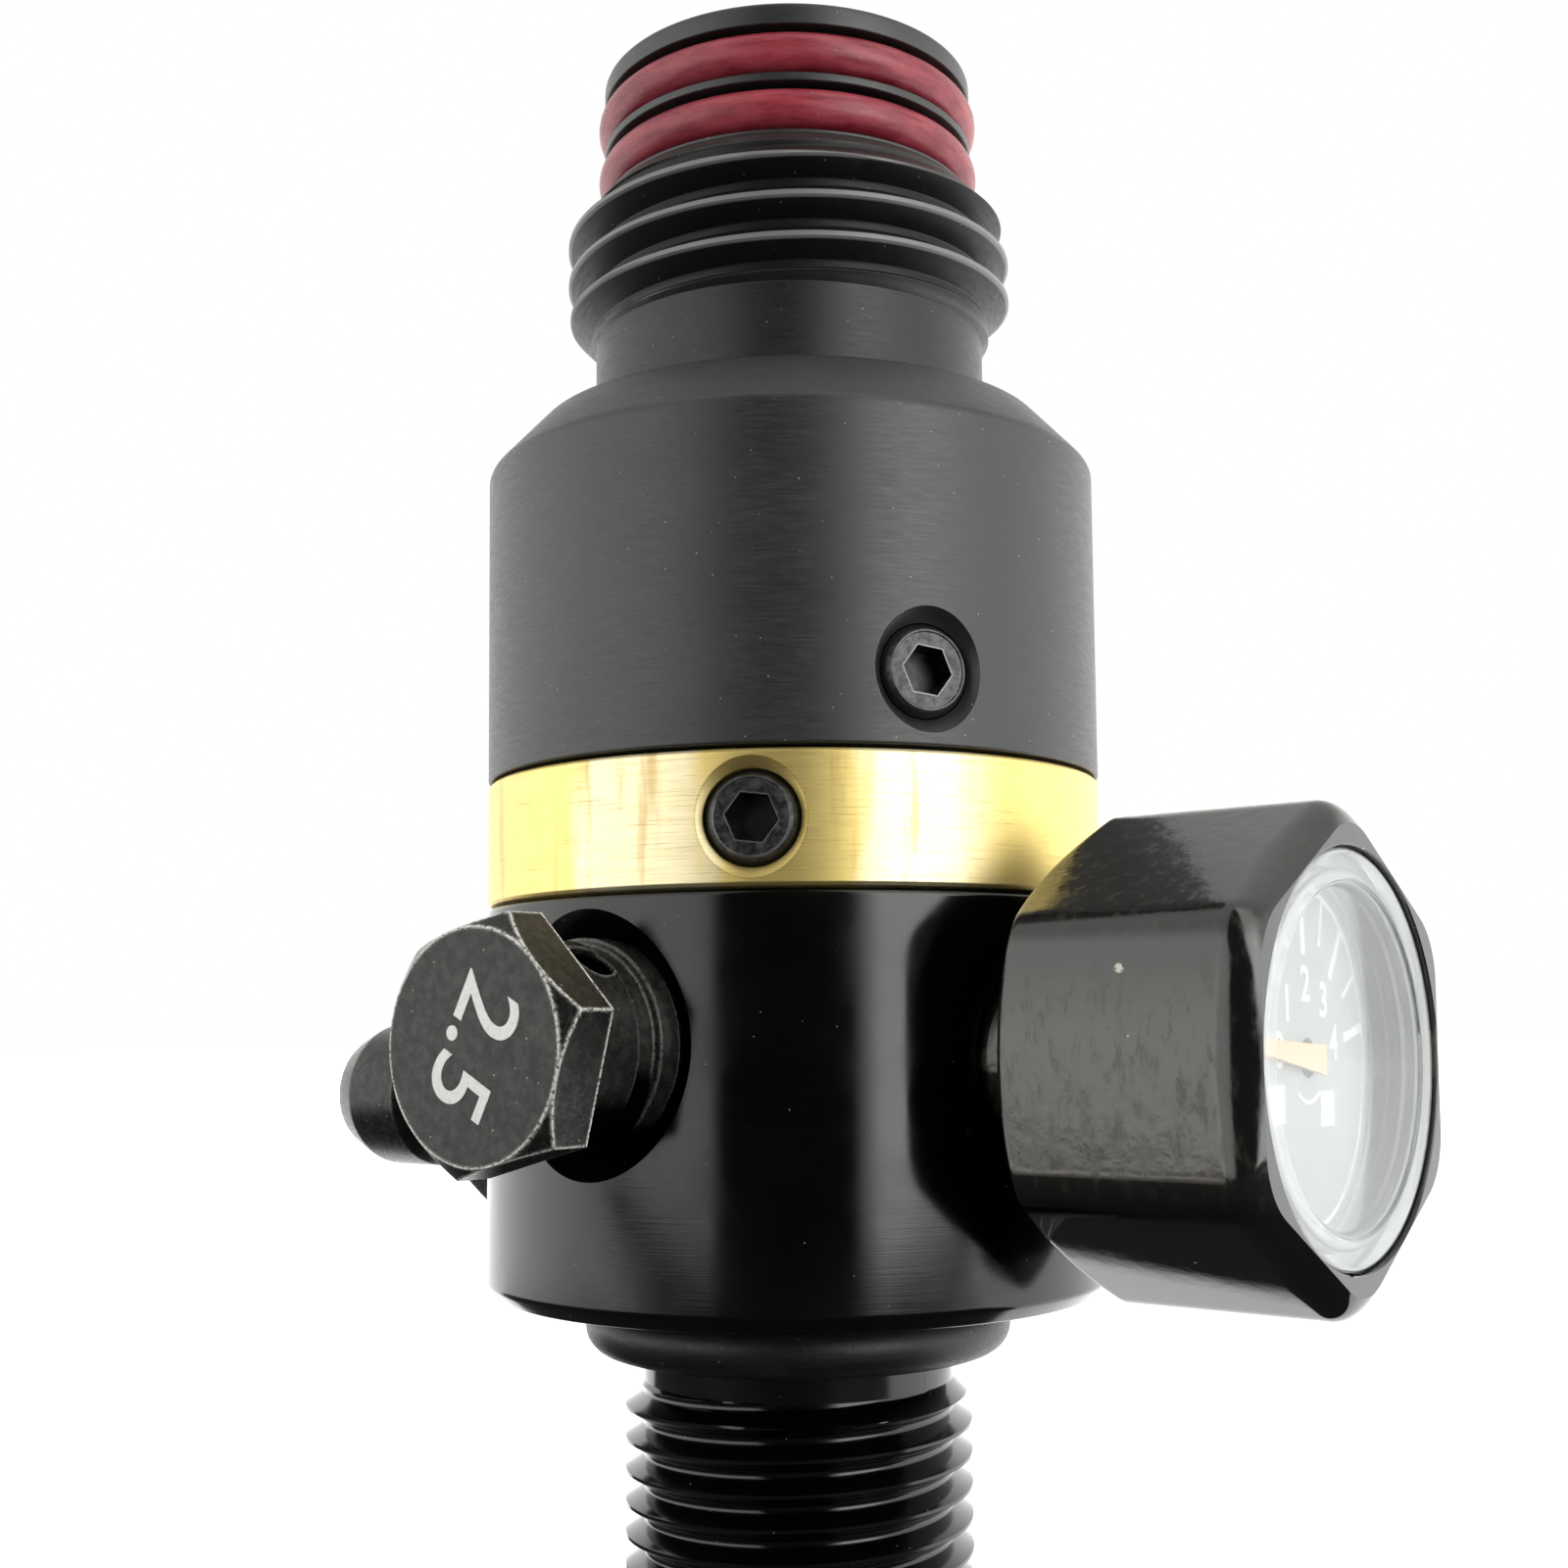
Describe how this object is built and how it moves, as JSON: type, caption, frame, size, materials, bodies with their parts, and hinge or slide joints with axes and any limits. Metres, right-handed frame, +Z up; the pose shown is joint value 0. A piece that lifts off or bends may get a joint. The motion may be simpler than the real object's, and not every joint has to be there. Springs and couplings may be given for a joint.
{
  "type": "high-pressure air tank regulator",
  "caption": "Cylindrical piston regulator for a small gas tank: threaded tank stem, brass jam ring, bonnet with threaded nose and pin valve, gauge, fill nipple and burst plugs.",
  "frame": {"origin": "on the tank thread's axis, in the plane of the body's underside that seats on the tank neck", "axes": "+Z up the regulator's axis towards the nose; -Y is the front, between the gauge and the low-pressure burst plug; +X is the gauge's side"},
  "size_m": [0.0518, 0.0451, 0.0757],
  "materials": {
    "bonnet_black": "matte black anodised, fine turning marks",
    "body_black": "bright-dipped gloss black anodised",
    "plug_bronze": "blackened, worn bright on its edges",
    "brass": "polished, light circular scratches",
    "steel": "ground",
    "black_steel": "black oxide",
    "copper": "soft annealed copper",
    "sintered": "sintered bronze",
    "red_rubber": "burgundy polyurethane, satin",
    "black_rubber": "black nitrile",
    "white_plastic": "acetal",
    "gauge_black": "gloss black lacquer",
    "dial": "matt dial enamel with a plain white scale",
    "pointer": "orange lacquer",
    "lens": "clear polycarbonate, slightly hazy"
  },
  "bodies": {
    "valve_body": {"valve_body": "body_black", "tank_neck_oring": "black_rubber", "inlet_filter": "sintered", "seat_carrier": "brass", "seat": "white_plastic", "lower_stem_oring": "black_rubber", "upper_stem_oring": "black_rubber", "gauge_case": "gauge_black", "gauge_stem": "gauge_black", "bourdon_tube": "brass", "gauge_dial": "dial", "gauge_lens": "lens", "low_burst_plug": "plug_bronze", "low_burst_disc": "copper", "low_burst_washer": "white_plastic", "high_burst_plug": "plug_bronze", "high_burst_disc": "copper", "high_burst_washer": "white_plastic", "fill_nipple": "plug_bronze", "nipple_filter": "sintered", "nipple_spring": "steel", "nipple_spring_retainer": "brass", "spring_washer_1": "steel", "spring_washer_2": "steel", "spring_washer_3": "steel", "spring_washer_4": "steel", "spring_washer_5": "steel", "spring_washer_6": "steel"},
    "bonnet": {"bonnet": "bonnet_black", "nose_oring_upper": "red_rubber", "nose_oring_lower": "red_rubber", "pin_valve_body": "brass", "pin_valve_washer": "copper", "pin_spring": "steel", "pin_spring_retainer": "brass"},
    "bonnet_screw": {"bonnet_set_screw": "black_steel"},
    "lock_ring": {"lock_ring": "brass"},
    "ring_screw": {"ring_set_screw": "black_steel"},
    "piston": {"piston": "steel", "piston_oring": "black_rubber"},
    "valve_pin": {"valve_pin": "steel", "pin_seal": "white_plastic"},
    "pointer": {"gauge_pointer": "pointer", "pointer_arbor": "steel"},
    "poppet": {"nipple_poppet": "steel", "poppet_oring": "black_rubber"}
  },
  "joints": [
    {"name": "bonnet_turn", "type": "hinge", "parent": "valve_body", "child": "bonnet", "pos_m": [0, 0, 0.02325], "axis": [0, 0, 1], "continuous": true},
    {"name": "bonnet_screw_turn", "type": "hinge", "parent": "bonnet", "child": "bonnet_screw", "pos_m": [0.00522, -0.01212, 0.0263], "axis": [0.3955, -0.9184, 0], "continuous": true},
    {"name": "lock_ring_turn", "type": "hinge", "parent": "valve_body", "child": "lock_ring", "pos_m": [0, 0, 0.0176], "axis": [0, 0, 1], "continuous": true},
    {"name": "ring_screw_turn", "type": "hinge", "parent": "lock_ring", "child": "ring_screw", "pos_m": [-0.00159, -0.0131, 0.02028], "axis": [-0.1201, -0.9928, 0], "continuous": true},
    {"name": "piston_slide", "type": "slide", "parent": "valve_body", "child": "piston", "axis": [0, 0, 1], "range_m": [-0.0008, 0], "stiffness_N_per_m": 2000, "springref_m": 0.0004, "deforming": ["spring_washer_1", "spring_washer_2", "spring_washer_3", "spring_washer_4", "spring_washer_5", "spring_washer_6"]},
    {"name": "pin_slide", "type": "slide", "parent": "bonnet", "child": "valve_pin", "axis": [0, 0, 1], "range_m": [-0.0012, 0], "stiffness_N_per_m": 200, "springref_m": 0.001, "deforming": ["pin_spring"]},
    {"name": "pointer_turn", "type": "hinge", "parent": "valve_body", "child": "pointer", "pos_m": [0.01943, -0.01573, 0.0106], "axis": [0.7771, -0.6293, 0], "range_deg": [-270, 0], "stiffness_Nm_per_rad": 0.00005, "springref_deg": 11.46},
    {"name": "poppet_slide", "type": "slide", "parent": "valve_body", "child": "poppet", "axis": [-0.7771, 0.6293, 0], "range_m": [-0.0012, 0], "stiffness_N_per_m": 200, "springref_m": 0.001, "deforming": ["nipple_spring"]}
  ]
}
